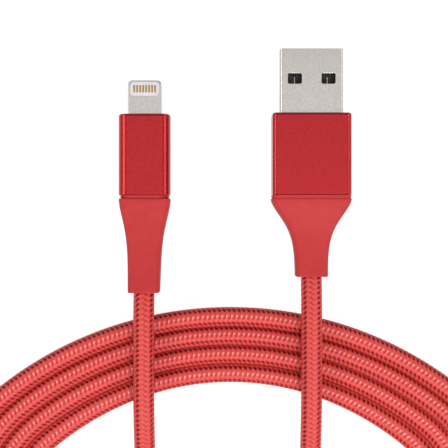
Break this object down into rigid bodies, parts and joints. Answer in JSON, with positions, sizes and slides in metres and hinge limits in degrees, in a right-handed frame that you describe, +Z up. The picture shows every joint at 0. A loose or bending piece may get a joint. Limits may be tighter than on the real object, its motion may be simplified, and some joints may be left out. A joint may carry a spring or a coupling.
{
  "type": "charging cable",
  "caption": "Braided charging cable with a small phone plug and a USB-A plug in metal sleeves, wound in a flat coil, for charging and data.",
  "frame": {"origin": "on the resting surface, under the middle of the box that holds the two plugs and their boots, without the cord", "axes": "+Y along both plugs towards their tips, +X from the phone plug to the USB-A plug, +Z up from the surface that the cable lies on"},
  "size_m": [0.1142, 0.1309, 0.0082],
  "materials": {
    "red_aluminium": "satin anodised red",
    "red_rubber": "matte moulded red",
    "red_braid": "braided nylon",
    "steel": "nickel plated, satin",
    "gold": "gold plated",
    "white_plastic": "fine moulded white",
    "black_plastic": "moulded black",
    "cream_mould": "translucent inner moulding",
    "green_board": "solder mask",
    "cord_jacket": "matte inner jacket",
    "black_insulation": "wire insulation",
    "green_insulation": "wire insulation",
    "white_insulation": "wire insulation",
    "red_insulation": "wire insulation"
  },
  "bodies": {
    "cord": {"phone_lead": "red_braid", "usb_lead": "red_braid", "cord_coil": "red_braid"},
    "usb_plug": {"usb_housing": "red_aluminium", "usb_shell": "steel", "usb_tongue": "black_plastic", "usb_inner_mould": "cream_mould", "usb_contact_ground": "gold", "usb_contact_data_plus": "gold", "usb_contact_data_minus": "gold", "usb_contact_power": "gold", "usb_wire_ground": "black_insulation", "usb_wire_data_plus": "green_insulation", "usb_wire_data_minus": "white_insulation", "usb_wire_power": "red_insulation", "usb_collar": "red_rubber", "usb_boot": "red_rubber", "usb_crimp": "steel", "usb_cord_end": "cord_jacket"},
    "phone_plug": {"phone_housing": "red_aluminium", "phone_tab": "steel", "phone_insulator": "white_plastic", "phone_contact_top_1": "gold", "phone_contact_top_2": "gold", "phone_contact_top_3": "gold", "phone_contact_top_4": "gold", "phone_contact_top_5": "gold", "phone_contact_top_6": "gold", "phone_contact_top_7": "gold", "phone_contact_top_8": "gold", "phone_contact_bottom_1": "gold", "phone_contact_bottom_2": "gold", "phone_contact_bottom_3": "gold", "phone_contact_bottom_4": "gold", "phone_contact_bottom_5": "gold", "phone_contact_bottom_6": "gold", "phone_contact_bottom_7": "gold", "phone_contact_bottom_8": "gold", "phone_board": "green_board", "phone_chip": "black_plastic", "phone_capacitor": "cream_mould", "phone_shield": "steel", "phone_inner_mould": "cream_mould", "phone_wire_ground": "black_insulation", "phone_wire_data_plus": "green_insulation", "phone_wire_data_minus": "white_insulation", "phone_wire_power": "red_insulation", "phone_collar": "red_rubber", "phone_boot": "red_rubber", "phone_crimp": "steel", "phone_cord_end": "cord_jacket"}
  },
  "joints": [
    {"name": "usb_boot_bend", "type": "hinge", "parent": "cord", "child": "usb_plug", "pos_m": [0.0149, -0.01285, 0.0039], "axis": [0, 0, 1], "range_deg": [-20, 20], "stiffness_Nm_per_rad": 0.01, "deforming": ["usb_boot"]},
    {"name": "phone_boot_bend", "type": "hinge", "parent": "cord", "child": "phone_plug", "pos_m": [-0.01762, -0.01285, 0.0028], "axis": [0, 0, 1], "range_deg": [-20, 20], "stiffness_Nm_per_rad": 0.01, "deforming": ["phone_boot"]}
  ]
}
